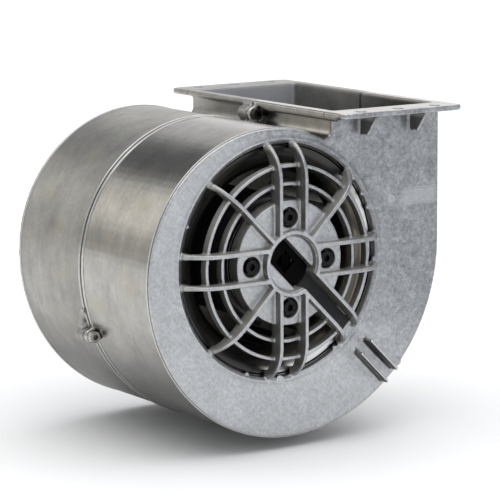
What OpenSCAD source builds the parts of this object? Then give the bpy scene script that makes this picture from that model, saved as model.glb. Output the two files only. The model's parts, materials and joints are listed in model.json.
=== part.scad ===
// Double-inlet combustion fan: a two-part die-cast scroll with an outlet flange, a grille
// in each inlet, and an external-rotor motor that carries a double-width drum wheel.
// Every part is drawn in the fan frame and then placed: x to the right and y up as seen
// from the front inlet, z along the fan axis towards the front inlet. The origin of the
// finished model is the centre of the outlet flange's top face, with Z up.

/* [Casing] */
// Overall width of the two casing halves along the fan axis
casing_w = 184; // [182:1:190]
// Thickness of the cast walls
wall_t = 3.5; // [3:0.25:4]
// Radius of the scroll's first arc, from the tongue round to the side
scroll_r = 103.5; // [102:0.5:105]
// Growth of the scroll radius at the side, where the second arc starts
side_growth = 18.5; // [17:0.5:20]
// Growth of the scroll radius at the bottom, where the third arc starts
bottom_growth = 10; // [8:0.5:12]
// Outer width of the outlet duct
duct_w = 97.5; // [96:0.5:99]
// Height of the outlet flange's top face above the fan axis
outlet_h = 104; // [102:0.5:108]

/* [Outlet flange] */
// Thickness of the flange
flange_t = 4; // [3:0.5:5]
// How far the flange stands out past the duct's two narrow sides
flange_side = 6; // [5:0.5:8]
// How far the flange stands out past the casing's front and rear faces
flange_end = 22; // [20:0.5:24]
// Distance between the bolt rows at the two ends
bolt_rows = 212; // [210:0.5:213]
// Distance between the outer bolts of a row
bolt_span = 67; // [60:0.5:72]
// Diameter of the flange's bolt holes
bolt_hole_d = 7; // [6:0.5:8]

/* [Inlet grille] */
// Radius of the thin lip round each inlet
lip_r = 88; // [87:0.5:89]
// Height of the grille's flat top above the casing face
grille_rise = 18; // [17:0.5:19]
// Width of a rib's front edge
rib_t = 3; // [2.5:0.25:3.5]
// Distance between the centre lines of the two ribs of a pair
rib_pair = 22; // [21:0.5:24]
// Middle radii of the two ring ribs
ring_radii = [56.5, 69.5];
// Radius of the hub plate that the motor bolts to
hub_r = 45; // [44:0.5:46]
// Pitch circle diameter of the motor screws
motor_pcd = 65; // [64:0.5:66]

/* [Wheel and motor] */
// Outer radius of the drum wheel
wheel_r = 80; // [79:0.5:81]
// Inner radius of the blades
eye_r = 68; // [67.5:0.5:69]
// Number of blades in each half of the wheel
blade_count = 38; // [30:1:44]
// Length of the blades of one half
blade_len = 68; // [66:0.5:68]
// Outer radius of the motor's rotor can
can_r = 46; // [44:0.5:47]
// Radius of the stator stack
stack_r = 34; // [32:0.5:36]
// Diameter of the motor shaft
shaft_d = 8; // [8:0.1:8]

/* [Hidden] */
$fn = 96;

// Overlap that lets cuts break cleanly through a face
eps = 1;
face_z = casing_w / 2;

// Scroll: three arcs whose centres step right and then up, so that each meets the next
// on a common tangent and the last one runs into the duct's right wall.
centre_a = [-7.3, -8];
centre_b = centre_a + [side_growth, 0];
centre_c = centre_b + [0, bottom_growth];
radius_b = scroll_r + side_growth;
radius_c = radius_b + bottom_growth;
duct_right = centre_c.x + radius_c;
duct_left = duct_right - duct_w;
duct_mid = duct_right - duct_w / 2;
tongue_fillet = 6;
// The fillet outside the tongue touches the first arc and the duct's left wall.
tongue_x = duct_left - tongue_fillet;
tongue_y = centre_a.y + sqrt(pow(scroll_r + tongue_fillet, 2) - pow(tongue_x - centre_a.x, 2));

flange_x0 = duct_left - flange_side;
flange_w = duct_w + 2 * flange_side;
flange_half = face_z + flange_end;
flange_y = outlet_h - flange_t;
flange_corner = 6;
// Rib under the front half of the flange's left edge
skirt_h = 2.5;
skirt_t = 2.5;
// Gusset plates between the flange's overhang and the casing face
gusset_x = 22.5;
gusset_t = 3;
gusset_h = 14;
gusset_foot = 9;
gusset_end = flange_end - 2;

// Casing lugs: one in the valley under the flange, the others spread round the seam.
lug_r = 5.5;
lug_angles = [203, 272, 322];
lug_out = 4;
duct_lug_y = 70;
seam_screw_d = 5;
seam_key = 4;
// Play round a screw in its tapped hole
thread_play = 0.05;
// Bead along the seam of each half, and where it ends below the flange
bead_h = 1.2;
bead_w = [2.6, 3.6];
bead_top = flange_y - 4;
lug_front = 4;
lug_rear = 12;
lug_hole_end = lug_rear - 2;
lug_screw_len = lug_front + lug_rear - 4;
// Webs that tie the valley lug to the duct wall and down to the scroll
valley_web_t = 6;
valley_stem = [5, 11];
// Pocket in the front half's wall that lets a screw head and its driver in
pocket_r = 5.2;
pocket_tip_r = 1;
pocket_z = [lug_front, 9, 20];
lugs = [
    [duct_left - 7, flange_y - 5.5],
    [duct_right + lug_out, duct_lug_y],
    for (a = lug_angles) lug_place(a)
];
function lug_place(a) = a < 270
    ? centre_b + (radius_b + lug_out) * [cos(a), sin(a)]
    : centre_c + (radius_c + lug_out) * [cos(a), sin(a)];

// Grille: a rib's front edge is flat near the hub and bends down to the casing's lip.
rim_inner_r = lip_r - 3.5;
lip_proud = 1.2;
lip_w = 1.2;
grille_top = face_z + grille_rise;
rib_depth = 12;
bend_x = rim_inner_r - 24.5;
bend_r = 26;
bend_back_r = 28;
// How much further out the bend of a rib's back edge starts
bend_shift = 1.5;
ring_w = 2.6;
ring_depth = 7;
ring_top = face_z + 11;
hub_top = face_z + 12;
hub_back = face_z + 1;
tube_inner_r = 21;
tube_wall = 2.8;
tube_r = tube_inner_r + tube_wall;
// The tube's bore steps in above the hub plate
step_w = 1.2;
step_h = 4;
bore_r = tube_inner_r - step_w;
front_diagonals = [45, 135, 225];
rear_diagonals = [45, 135, 225, 315];
// Lead channel: the motor leads leave the hub towards the lower right.
channel_angle = -45;
channel_gap = 13;
channel_floor = face_z + 3;
channel_end = 82;
channel_floor_t = 2;
trough_w = channel_gap + 2 * rib_t;
slot_w = 21;

// Motor screws
motor_screw_d = 6;
motor_screw_len = 13;
motor_key = 5;
motor_hole_r = motor_screw_d / 2 + 0.3;
recess_d = 14.5;
recess_floor = face_z + 5;
washer_t = 1;

// Inlet ring: thin spun metal with a groove behind the casing's lip
sheet_t = 1.2;
mouth_top = face_z - 4;
mouth_r = 17.5;
mouth_x = rim_inner_r - 2.1;
groove_z = face_z - 10;
groove_w = 2;
ring_flange_w = 4.4;
// The throat reaches a little way into the wheel's eye
throat_dip = 0.5;

// Motor stations along z
flange_back = face_z - 5;
can_front = 80;
can_t = 1.5;
can_floor_t = 3;
air_gap = 0.4;
stack_z = [30, 70];
tube_out_r = 13.8;
bearing_z = [[22, 29], [76, 83]];
bearing_r = 11;
bearing_half = 3.5;
ball_orbit = 7.6;
ball_r = 1.9;
ball_count = 7;
race_gap = 0.05;
outer_ring_bore = 9;
inner_ring_r = 6.2;
// Play of parts that sit in or on a turned seat
seat_play = 0.02;
shaft_play = 0.01;
// Depth left under the front bearing for its preload spring
spring_space = 1.5;
shaft_back = -5;
shaft_front = 87;
clip_groove_z = [84.5, 85.5];
clip_groove_r = shaft_d / 2 - 0.6;

wheel_disc_t = 2;
disc_half = wheel_disc_t / 2;
disc_bore_r = 9;
shroud_t = 1.2;
rivet_pcd = 60;
rivet_count = 6;
rivet_r = 2;
blade_t = 0.9;

ALUMINIUM = [0.66, 0.67, 0.69];
STEEL = [0.62, 0.63, 0.65];
BLACK = [0.08, 0.08, 0.09];
COPPER = [0.66, 0.36, 0.2];

// ---------- frames and small helpers ----------

// From the fan frame to the finished model
module fan_frame() {
    translate([-duct_mid, 0, -outlet_h])
        rotate([90, 0, 0])
            children();
}

module between(z0, z1) {
    translate([0, 0, z0])
        linear_extrude(z1 - z0)
            children();
}

module rod(r, z0, z1) {
    translate([0, 0, z0])
        cylinder(r = r, h = z1 - z0);
}

module ring(inner, outer, z0, z1) {
    between(z0, z1)
        difference() {
            circle(outer);
            circle(inner);
        }
}

module around(count, r = 0, first = 0) {
    for (i = [0 : count - 1])
        rotate(first + i * 360 / count)
            translate([r, 0, 0])
                children();
}

// ---------- casing ----------

// Outline of the scroll and duct, drawn in by inset; the duct runs up to y = top.
module scroll_outline(inset, top) {
    big = 400;
    intersection() {
        translate(centre_a)
            circle(scroll_r - inset, $fn = 180);
        translate([-big, centre_a.y])
            square([2 * big, big]);
    }
    intersection() {
        translate(centre_b)
            circle(radius_b - inset, $fn = 180);
        translate([-big, centre_a.y - big])
            square([big + centre_b.x, big]);
    }
    intersection() {
        translate(centre_c)
            circle(radius_c - inset, $fn = 180);
        translate([centre_c.x, centre_c.y - big])
            square(big);
    }
    translate([duct_left + inset, centre_c.y])
        square([duct_w - 2 * inset, top - centre_c.y]);
    tongue_corner(inset);
}

// Rounds the corner between the first arc and the duct's left wall.
module tongue_corner(inset) {
    reach = tongue_fillet + inset;
    difference() {
        translate([tongue_x, tongue_y - 2 * reach])
            square([reach, 2 * reach]);
        translate([tongue_x, tongue_y])
            circle(reach);
        tongue_waste();
    }
}

// Everything left of the line from the fillet's centre to the first arc's centre
module tongue_waste() {
    polygon([
        [tongue_x, tongue_y],
        centre_a,
        [centre_a.x - 1, tongue_y],
    ]);
}

module flange_half_plate(skirt) {
    translate([flange_x0, outlet_h, 0])
        rotate([90, 0, 0])
            linear_extrude(flange_t) {
                square([flange_w, flange_half - flange_corner]);
                translate([flange_corner, 0])
                    square([flange_w - 2 * flange_corner, flange_half]);
                for (x = [flange_corner, flange_w - flange_corner])
                    translate([x, flange_half - flange_corner])
                        circle(flange_corner);
            }
    if (skirt > 0)
        translate([flange_x0, flange_y - skirt, 4])
            cube([skirt_t, skirt + eps, flange_half - 2 * flange_corner]);
}

module flange_holes() {
    for (side = [-1, 0, 1])
        translate([duct_mid + side * bolt_span / 2, flange_y - eps, bolt_rows / 2])
            rotate([-90, 0, 0])
                cylinder(d = bolt_hole_d, h = flange_t + 2 * eps);
}

module gussets() {
    for (side = [-1, 1])
        translate([duct_mid + side * gusset_x - gusset_t / 2, 0, 0])
            rotate([0, 90, 0])
                linear_extrude(gusset_t)
                    polygon([
                        [-face_z + eps, flange_y + eps],
                        [-face_z - gusset_end, flange_y + eps],
                        [-face_z - gusset_end, flange_y],
                        [-face_z - gusset_foot, flange_y - gusset_h],
                        [-face_z + eps, flange_y - gusset_h],
                    ]);
}

module lug_bodies(length) {
    for (p = lugs)
        translate([p.x, p.y, 0])
            cylinder(r = lug_r, h = length);
    valley = lugs[0];
    translate([valley.x, valley.y - valley_web_t / 2, 0])
        cube([duct_left - valley.x + eps, valley_web_t, length]);
    translate([valley.x - valley_stem.x / 2, valley.y - valley_stem.y, 0])
        cube([valley_stem.x, valley_stem.y, length]);
}

// Room for the screw heads in front of the lugs, tapering out along the wall
module lug_pockets() {
    for (p = lugs)
        translate([p.x, p.y, 0]) {
            rod(pocket_r, pocket_z[0], pocket_z[1]);
            translate([0, 0, pocket_z[1] - 0.01])
                cylinder(r1 = pocket_r, r2 = pocket_tip_r, h = pocket_z[2] - pocket_z[1]);
        }
}

module lug_holes(r, z0, z1) {
    for (p = lugs)
        translate([p.x, p.y, z0])
            cylinder(r = r, h = z1 - z0, $fn = 48);
}

// The shell that both halves share, for z > 0
module half_shell(length, skirt) {
    difference() {
        union() {
            between(0, face_z)
                scroll_outline(0, outlet_h);
            flange_half_plate(skirt);
            gussets();
            lug_bodies(length);
            ring(lip_r - lip_w, lip_r, face_z - eps, face_z + lip_proud);
        }
        between(-eps, face_z - wall_t)
            scroll_outline(wall_t, outlet_h + eps);
        rod(rim_inner_r, 0, face_z + 2 * eps);
        flange_holes();
    }
}

// Two ribs on the front face that hold the cable down. An ear turns out level from the
// end of the upper one.
module cable_guide() {
    guide_r = [98, 134];
    guide_y = 6;
    guide_h = 10;
    guide_t = 2.25;
    ear = [12, 3.5, 2];
    rotate(channel_angle) {
        for (side = [-1, 1])
            translate([guide_r[0], side * guide_y - guide_t / 2, face_z - eps])
                cube([guide_r[1] - guide_r[0], guide_t, guide_h + eps]);
        translate([guide_r[1] - ear.y, guide_y - guide_t / 2, face_z - eps])
            rotate(-channel_angle)
                cube(ear + [0, 0, eps]);
    }
}

// Blank raised plate with a disc beside it, in the upper right of the front face
module name_pad() {
    plate = [29, 11];
    plate_mid = [duct_mid + 31, 36.5];
    disc_r = 4.2;
    disc_mid = plate_mid - [26, 0.5];
    pad_h = 0.7;
    translate([0, 0, face_z - eps])
        linear_extrude(eps + pad_h) {
            translate(plate_mid - plate / 2)
                square(plate);
            translate(disc_mid)
                circle(disc_r);
        }
}

// Raised bead along the seam, from the plane z = 0
module seam_bead(width) {
    between(0, width)
        difference() {
            scroll_outline(-bead_h, bead_top);
            scroll_outline(wall_t, flange_y);
        }
}

module casing_front() {
    screw_clearance = 0.3;
    color(ALUMINIUM)
        fan_frame()
            difference() {
                union() {
                    half_shell(lug_front, skirt_h);
                    seam_bead(bead_w[0]);
                    cable_guide();
                    name_pad();
                }
                lug_holes(seam_screw_d / 2 + screw_clearance, -eps, lug_front + eps);
                lug_pockets();
            }
}

module casing_rear() {
    color(ALUMINIUM)
        fan_frame()
            mirror([0, 0, 1])
                difference() {
                    union() {
                        half_shell(lug_rear, 0);
                        seam_bead(bead_w[1]);
                    }
                    lug_holes(seam_screw_d / 2 + thread_play, -eps, lug_hole_end);
                }
}

// ---------- grilles ----------

// Side view of a rib from radius x0 out to the rim
module rib_profile(x0, back) {
    waste_w = 40;
    difference() {
        union() {
            translate([x0, back])
                square([bend_x - x0, grille_top - back]);
            intersection() {
                translate([bend_x, grille_top - bend_r])
                    circle(bend_r);
                translate([bend_x, face_z - wall_t])
                    square([rim_inner_r + eps - bend_x, 2 * bend_r]);
            }
        }
        intersection() {
            translate([bend_x + bend_shift, grille_top - rib_depth - bend_back_r])
                circle(bend_back_r);
            translate([bend_x, 0])
                square([waste_w, grille_top]);
        }
    }
}

// A rib that runs out along +x, shifted sideways by dy
module rib(x0, dy, back = grille_top - rib_depth) {
    translate([0, dy + rib_t / 2, 0])
        rotate([90, 0, 0])
            linear_extrude(rib_t)
                rib_profile(x0, back);
}

// The two ring ribs, cut wherever a straight rib runs through them
module ring_ribs(diagonals) {
    reach = 2 * lip_r;
    difference() {
        for (r = ring_radii)
            ring(r - ring_w / 2, r + ring_w / 2, ring_top - ring_depth, ring_top);
        for (a = [0 : 90 : 270], side = [-1, 1])
            rotate(a)
                translate([0, side * rib_pair / 2 - rib_t / 2, 0])
                    cube([reach, rib_t, reach]);
        for (a = diagonals)
            rotate(a)
                translate([0, -rib_t / 2, 0])
                    cube([reach, rib_t, reach]);
    }
}

// The four pairs of ribs and the diagonal ribs at the given angles
module rib_star(x0, diagonals) {
    for (a = [0 : 90 : 270], side = [-1, 1])
        rotate(a)
            rib(x0, side * rib_pair / 2);
    for (a = diagonals)
        rotate(a)
            rib(x0, 0);
}

module screw_recesses() {
    around(4, motor_pcd / 2) {
        rod(recess_d / 2, recess_floor, grille_top);
        rod(motor_hole_r, hub_back - eps, recess_floor + eps);
    }
}

// Trough for the motor leads, from the hub tube to the rim
module lead_channel() {
    trough_back = channel_floor - channel_floor_t;
    rotate(channel_angle) {
        for (side = [-1, 1])
            rib(tube_inner_r + eps, side * (channel_gap + rib_t) / 2, trough_back);
        translate([hub_r - 2 * eps, -channel_gap / 2 - eps, trough_back])
            cube([channel_end - hub_r, channel_gap + 2 * eps, channel_floor_t]);
        // Land that closes the trough at the rim
        translate([channel_end - 2 * eps, -trough_w / 2, face_z - wall_t])
            cube([rim_inner_r - channel_end + 3 * eps, trough_w, wall_t]);
    }
}

module grille_front() {
    color(ALUMINIUM)
        fan_frame()
            difference() {
                intersection() {
                    union() {
                        rib_star(tube_r - 4, front_diagonals);
                        rod(hub_r, hub_back, hub_top);
                        rod(tube_r, hub_back, grille_top);
                        lead_channel();
                    }
                    rod(rim_inner_r, 0, grille_top);
                }
                // Bore of the hub tube, in two steps
                rod(tube_inner_r, hub_top + step_h, grille_top + eps);
                rod(bore_r, hub_top, hub_top + step_h + eps);
                screw_recesses();
                // Slot through the hub, open towards the channel
                intersection() {
                    rotate(channel_angle)
                        translate([-tube_r, -slot_w / 2, 0])
                            cube([2 * tube_r, slot_w, 2 * grille_top]);
                    rod(bore_r, hub_back - eps, grille_top + eps);
                }
                rotate(channel_angle)
                    translate([0, -channel_gap / 2, channel_floor])
                        cube([channel_end - 4, channel_gap, 2 * grille_rise]);
            }
}

module grille_rear() {
    cap_r = tube_r + 3;
    cap_sunk = 3;
    color(ALUMINIUM)
        fan_frame()
            mirror([0, 0, 1])
                intersection() {
                    union() {
                        rib_star(cap_r - 2 * cap_sunk, rear_diagonals);
                        rod(cap_r, grille_top - rib_depth, grille_top - cap_sunk);
                    }
                    rod(rim_inner_r, 0, grille_top);
                }
}

module grille_rings_front() {
    color(ALUMINIUM)
        fan_frame()
            difference() {
                ring_ribs(front_diagonals);
                rotate(channel_angle)
                    translate([0, -trough_w / 2, 0])
                        cube([lip_r, trough_w, 2 * grille_top]);
            }
}

module grille_rings_rear() {
    color(ALUMINIUM)
        fan_frame()
            mirror([0, 0, 1])
                ring_ribs(rear_diagonals);
}

// ---------- inlet rings ----------

module mouth_profile() {
    // Flange behind the casing wall
    translate([mouth_x + groove_w, face_z - wall_t - sheet_t])
        square([ring_flange_w, sheet_t]);
    // Groove between the flange and the mouth
    translate([mouth_x + groove_w - sheet_t, groove_z])
        square([sheet_t, face_z - wall_t - groove_z]);
    translate([mouth_x - sheet_t, groove_z])
        square([groove_w + sheet_t, sheet_t]);
    translate([mouth_x - sheet_t, groove_z])
        square([sheet_t, mouth_top - groove_z]);
    // Quarter-round mouth
    intersection() {
        difference() {
            translate([mouth_x, mouth_top - mouth_r])
                circle(mouth_r);
            translate([mouth_x, mouth_top - mouth_r])
                circle(mouth_r - sheet_t);
        }
        translate([mouth_x - mouth_r, mouth_top - mouth_r])
            square(mouth_r);
    }
    // Straight throat
    translate([mouth_x - mouth_r, blade_len - throat_dip])
        square([sheet_t, mouth_top - mouth_r - blade_len + throat_dip + 0.1]);
}

module inlet_ring() {
    rotate_extrude($fn = 180)
        mouth_profile();
}

module inlet_ring_front() {
    color(ALUMINIUM)
        fan_frame()
            inlet_ring();
}

module inlet_ring_rear() {
    color(ALUMINIUM)
        fan_frame()
            mirror([0, 0, 1])
                inlet_ring();
}

// ---------- fasteners ----------

// Socket head cap screw, head base at z = 0
module cap_screw(d, length, hex) {
    difference() {
        union() {
            cylinder(d = d * 5 / 3, h = d);
            translate([0, 0, -length])
                cylinder(d = d, h = length);
        }
        translate([0, 0, d / 2])
            cylinder(d = hex / cos(30), h = d, $fn = 6);
    }
}

module casing_screws() {
    color(BLACK)
        fan_frame()
            for (p = lugs)
                translate([p.x, p.y, lug_front])
                    cap_screw(seam_screw_d, lug_screw_len, seam_key, $fn = 48);
}

module motor_screws() {
    color(BLACK)
        fan_frame()
            around(4, motor_pcd / 2)
                translate([0, 0, recess_floor + washer_t])
                    cap_screw(motor_screw_d, motor_screw_len, motor_key, $fn = 48);
}

module motor_washers() {
    washer_r = [motor_screw_d / 2 + 0.2, 5.8];
    color(BLACK)
        fan_frame()
            around(4, motor_pcd / 2)
                ring(washer_r[0], washer_r[1], recess_floor, recess_floor + washer_t);
}

// Black moulded insert that lines the hub slot and the floor of the lead channel
module lead_guard() {
    play = 0.15;
    insert_t = 3;
    liner_t = 1.5;
    lead_hole = 12;
    insert_r = bore_r - play;
    color(BLACK)
        fan_frame()
            difference() {
                union() {
                    intersection() {
                        rotate(channel_angle)
                            translate([-insert_r, -slot_w / 2 + play, hub_back + 2])
                                cube([2 * insert_r, slot_w - 2 * play, insert_t]);
                        rod(insert_r, hub_back, hub_top);
                    }
                    rotate(channel_angle)
                        translate([tube_inner_r - 8, -channel_gap / 2 + play, channel_floor + 0.01])
                            cube([channel_end - tube_inner_r + 2, channel_gap - 2 * play, liner_t]);
                }
                // Way through for the leads
                rotate(channel_angle)
                    translate([-lead_hole / 2, -lead_hole / 2, 0])
                        cube([lead_hole, lead_hole, 2 * grille_top]);
            }
}

// ---------- motor ----------

module stator_flange() {
    shoulder = 2;
    lead_cut = [4, 8];
    color(STEEL)
        fan_frame()
            difference() {
                union() {
                    rod(hub_r - 1, flange_back, hub_back);
                    rod(tube_out_r, bearing_z[0][0] - shoulder, flange_back + eps);
                }
                // Bearing bore, with a shoulder left between the two seats
                rod(bearing_r + seat_play, 0, bearing_z[0][1]);
                rod(bearing_r - shoulder, 0, face_z + eps);
                rod(bearing_r + seat_play, bearing_z[1][0] - spring_space, hub_back + eps);
                around(4, motor_pcd / 2)
                    rod(motor_screw_d / 2 + thread_play, flange_back - eps, hub_back + eps);
                // Lead outlet beside the bearing tube
                rotate(channel_angle)
                    translate([-tube_out_r - lead_cut.x, -lead_cut.y / 2, flange_back - eps])
                        cube([lead_cut.x, lead_cut.y, 2 * wall_t + 2]);
            }
}

module stator_stack() {
    slots = 24;
    slot_r = 1.9;
    slot_depth = 11;
    mouth = [5, 1.6];
    color(STEEL)
        fan_frame()
            between(stack_z[0], stack_z[1])
                difference() {
                    circle(stack_r);
                    circle(tube_out_r + seat_play);
                    around(slots, stack_r) {
                        translate([-slot_depth, 0])
                            circle(slot_r);
                        translate([-slot_depth, -slot_r])
                            square([slot_depth - 3, 2 * slot_r]);
                        translate([eps - mouth.x, -mouth.y / 2])
                            square(mouth);
                    }
                }
}

// Overhang of the winding: a flat-bottomed ring with a rounded top, on the plane z = 0
module coil_end() {
    coil_w = 10;
    coil_mid = stack_r - 8;
    rotate_extrude()
        difference() {
            union() {
                translate([coil_mid - coil_w / 2, 0])
                    square([coil_w, coil_w / 2]);
                translate([coil_mid, coil_w / 2 - 1])
                    circle(coil_w / 2 - 0.01);
            }
            translate([0, -coil_w])
                square([stack_r, coil_w]);
        }
}

module stator_windings() {
    color(COPPER)
        fan_frame() {
            translate([0, 0, stack_z[1]])
                coil_end();
            translate([0, 0, stack_z[0]])
                mirror([0, 0, 1])
                    coil_end();
        }
}

// Both bearings, one child drawn at each
module at_bearings() {
    for (z = bearing_z)
        translate([0, 0, (z[0] + z[1]) / 2])
            children();
}

module bearing_outer_rings() {
    color(STEEL)
        fan_frame()
            at_bearings()
                difference() {
                    ring(outer_ring_bore, bearing_r, -bearing_half, bearing_half);
                    ball_track();
                }
}

module bearing_inner_rings() {
    color(STEEL)
        fan_frame()
            at_bearings()
                difference() {
                    ring(shaft_d / 2 + shaft_play, inner_ring_r, -bearing_half, bearing_half);
                    ball_track();
                }
}

// The groove that the balls run in
module ball_track() {
    rotate_extrude()
        translate([ball_orbit, 0])
            circle(ball_r + race_gap, $fn = 48);
}

module bearing_balls() {
    color(STEEL)
        fan_frame()
            at_bearings()
                around(ball_count, ball_orbit)
                    sphere(ball_r, $fn = 32);
}

module bearing_preload_spring() {
    color(STEEL)
        fan_frame()
            ring(9.2, bearing_r - 0.2, bearing_z[1][0] - spring_space + 0.1, bearing_z[1][0] - 0.1);
}

module motor_shaft() {
    color(STEEL)
        fan_frame()
            difference() {
                rod(shaft_d / 2, shaft_back, shaft_front);
                ring(clip_groove_r, shaft_d, clip_groove_z[0], clip_groove_z[1]);
            }
}

module shaft_clip() {
    clip_r = 7;
    clip_gap = 3.2;
    color(STEEL)
        fan_frame()
            difference() {
                ring(clip_groove_r + 0.05, clip_r, clip_groove_z[0] + 0.1, clip_groove_z[1] - 0.1);
                rotate(channel_angle)
                    translate([0, -clip_gap / 2, clip_groove_z[0] - eps])
                        cube([clip_r + eps, clip_gap, 4]);
            }
}

module rotor_can() {
    boss_back = -4;
    color(STEEL)
        fan_frame()
            difference() {
                union() {
                    rod(can_r, disc_half, can_front);
                    rod(disc_bore_r - 0.3, boss_back, disc_half + eps);
                }
                rod(can_r - can_t, disc_half + can_floor_t, can_front + eps);
                rod(shaft_d / 2 + shaft_play, shaft_back, can_front);
                rivet_holes();
            }
}

module rotor_core() {
    core_overhang = 4;
    color(STEEL)
        fan_frame()
            ring(stack_r + air_gap, can_r - can_t - seat_play,
                stack_z[0] - core_overhang, stack_z[1] + core_overhang);
}

// ---------- wheel ----------

// Holes for the rivets that hold the wheel disc to the can's floor
module rivet_holes() {
    around(rivet_count, rivet_pcd / 2)
        rod(rivet_r + seat_play, -2 * disc_half, disc_half + can_floor_t + eps);
}

module wheel_disc() {
    color(STEEL)
        fan_frame()
            difference() {
                rod(wheel_r, -disc_half, disc_half);
                rod(disc_bore_r, -2 * disc_half, 2 * disc_half);
                rivet_holes();
            }
}

// One forward-curved blade in section: radial at the eye, leaning forward at the tip
module blade_section() {
    curl_r = 10.4;
    curl_mid = [eye_r + 1.5, 10];
    blade_h = 11;
    intersection() {
        translate(curl_mid)
            difference() {
                circle(curl_r, $fn = 64);
                circle(curl_r - blade_t, $fn = 64);
            }
        difference() {
            circle(wheel_r - 0.6);
            circle(eye_r);
        }
        translate([eye_r - 2, -2])
            square([wheel_r - eye_r + 2, blade_h]);
    }
}

module blade_row() {
    between(disc_half, disc_half + blade_len)
        around(blade_count)
            blade_section();
}

module blades_front() {
    color(STEEL)
        fan_frame()
            blade_row();
}

module blades_rear() {
    color(STEEL)
        fan_frame()
            translate([0, 0, -blade_len - 2 * disc_half])
                blade_row();
}

// End ring with a turned-in outer edge, for the end of a blade row
module shroud_ring() {
    top = disc_half + blade_len;
    shroud_r = wheel_r + 0.4;
    skirt_depth = 5;
    ring(eye_r - 0.5, shroud_r, top, top + shroud_t);
    ring(shroud_r - 0.9, shroud_r, top - skirt_depth, top + shroud_t);
}

module shroud_ring_front() {
    color(STEEL)
        fan_frame()
            shroud_ring();
}

module shroud_ring_rear() {
    color(STEEL)
        fan_frame()
            mirror([0, 0, 1])
                shroud_ring();
}

module wheel_rivets() {
    head_r = 3.4;
    head_t = [1.5, 1];
    inside = disc_half + can_floor_t;
    color(STEEL)
        fan_frame()
            around(rivet_count, rivet_pcd / 2) {
                rod(rivet_r, -disc_half - head_t[0] / 2, inside + head_t[1] / 2);
                rod(head_r, -disc_half - head_t[0], -disc_half);
                rod(head_r, inside, inside + head_t[1]);
            }
}

// Spring clips on the inner edges of two blades, which balance the wheel
module balance_clips() {
    clip = [2.5, 5, 8];
    clip_places = [[20, 40], [200, -45]];
    color(STEEL)
        fan_frame()
            for (place = clip_places)
                rotate(place[0])
                    translate([eye_r - clip.x - 0.5, 3, place[1]])
                        cube(clip);
}

casing_front();
casing_rear();
grille_front();
grille_rear();
grille_rings_front();
grille_rings_rear();
inlet_ring_front();
inlet_ring_rear();
casing_screws();
motor_screws();
motor_washers();
lead_guard();
stator_flange();
stator_stack();
stator_windings();
bearing_outer_rings();
bearing_balls();
bearing_inner_rings();
bearing_preload_spring();
motor_shaft();
shaft_clip();
rotor_can();
rotor_core();
wheel_disc();
blades_front();
blades_rear();
shroud_ring_front();
shroud_ring_rear();
wheel_rivets();
balance_clips();
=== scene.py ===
"""Looks of the combustion fan: a die-cast aluminium scroll with ribbed inlet grilles, spun inlet
rings, a galvanised drum wheel on an external-rotor motor, and its screws, in soft studio light.
The scrolls and the grilles are remeshed from the CAD solids, so that their corners fill and
their edges round. Every other piece keeps its CAD mesh.
"""
import json
import math

import bmesh
import bpy
from mathutils import Matrix, Vector
from mathutils.bvhtree import BVHTree


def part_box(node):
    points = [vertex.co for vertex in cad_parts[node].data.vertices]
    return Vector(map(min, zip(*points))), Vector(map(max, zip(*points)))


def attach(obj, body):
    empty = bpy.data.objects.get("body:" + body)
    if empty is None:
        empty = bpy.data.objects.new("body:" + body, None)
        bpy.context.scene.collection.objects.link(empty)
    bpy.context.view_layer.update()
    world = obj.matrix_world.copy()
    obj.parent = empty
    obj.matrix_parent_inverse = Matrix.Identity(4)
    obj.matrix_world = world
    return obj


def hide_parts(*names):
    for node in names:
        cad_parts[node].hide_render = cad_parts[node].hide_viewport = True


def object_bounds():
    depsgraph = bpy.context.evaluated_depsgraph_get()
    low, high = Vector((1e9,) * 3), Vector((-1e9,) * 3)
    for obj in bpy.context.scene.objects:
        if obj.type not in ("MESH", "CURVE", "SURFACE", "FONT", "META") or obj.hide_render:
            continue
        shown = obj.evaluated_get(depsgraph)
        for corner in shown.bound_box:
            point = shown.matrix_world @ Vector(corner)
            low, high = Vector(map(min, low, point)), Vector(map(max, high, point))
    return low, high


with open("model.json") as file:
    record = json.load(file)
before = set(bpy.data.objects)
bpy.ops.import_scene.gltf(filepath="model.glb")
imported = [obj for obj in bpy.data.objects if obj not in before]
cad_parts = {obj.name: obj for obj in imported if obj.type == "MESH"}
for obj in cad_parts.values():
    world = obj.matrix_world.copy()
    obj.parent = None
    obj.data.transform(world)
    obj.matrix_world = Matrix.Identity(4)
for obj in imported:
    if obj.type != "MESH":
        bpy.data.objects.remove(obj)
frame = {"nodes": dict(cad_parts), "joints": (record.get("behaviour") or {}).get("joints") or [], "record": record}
nodes = frame["nodes"]
cad_lo, cad_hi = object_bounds()

MM = 0.001

# ---------- places ----------

fan_axis = Vector(frame["joints"][0]["pos_m"])      # where the shaft crosses the seam plane
WALL_T = 3.5
RIM_R = 84.5                            # inner radius of the opening in the casing
LIP_R = 88.0                            # outer radius of the lip round the opening
PLATE_MIDDLE = (125.5, 36.5)            # blank plate on the front face
PLATE_HALF = (14.5, 5.5)
DISC_MIDDLE = (99.5, 36)                # plain disc beside it
DISC_R = 4.2
face_z = -(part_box("inlet_ring_front")[0][1] / MM) + WALL_T   # casing face, from the seam plane
floor_z = cad_lo.z


def fan_point(x, y, z):
    """From the fan frame in mm (x right, y up, z towards the front inlet) to the model's frame."""
    return fan_axis + Vector((x, -z, y)) * MM


# ---------- camera ----------

CAMERA_OFFSET = Vector((-1.0461, -1.5931, 0.3170))   # from the fan axis
CAMERA_YAW = math.radians(-34.196)
CAMERA_PITCH = math.radians(-9.593)
CAMERA_ROLL = math.radians(-0.318)
CAMERA_LENS = 187.2


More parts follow.
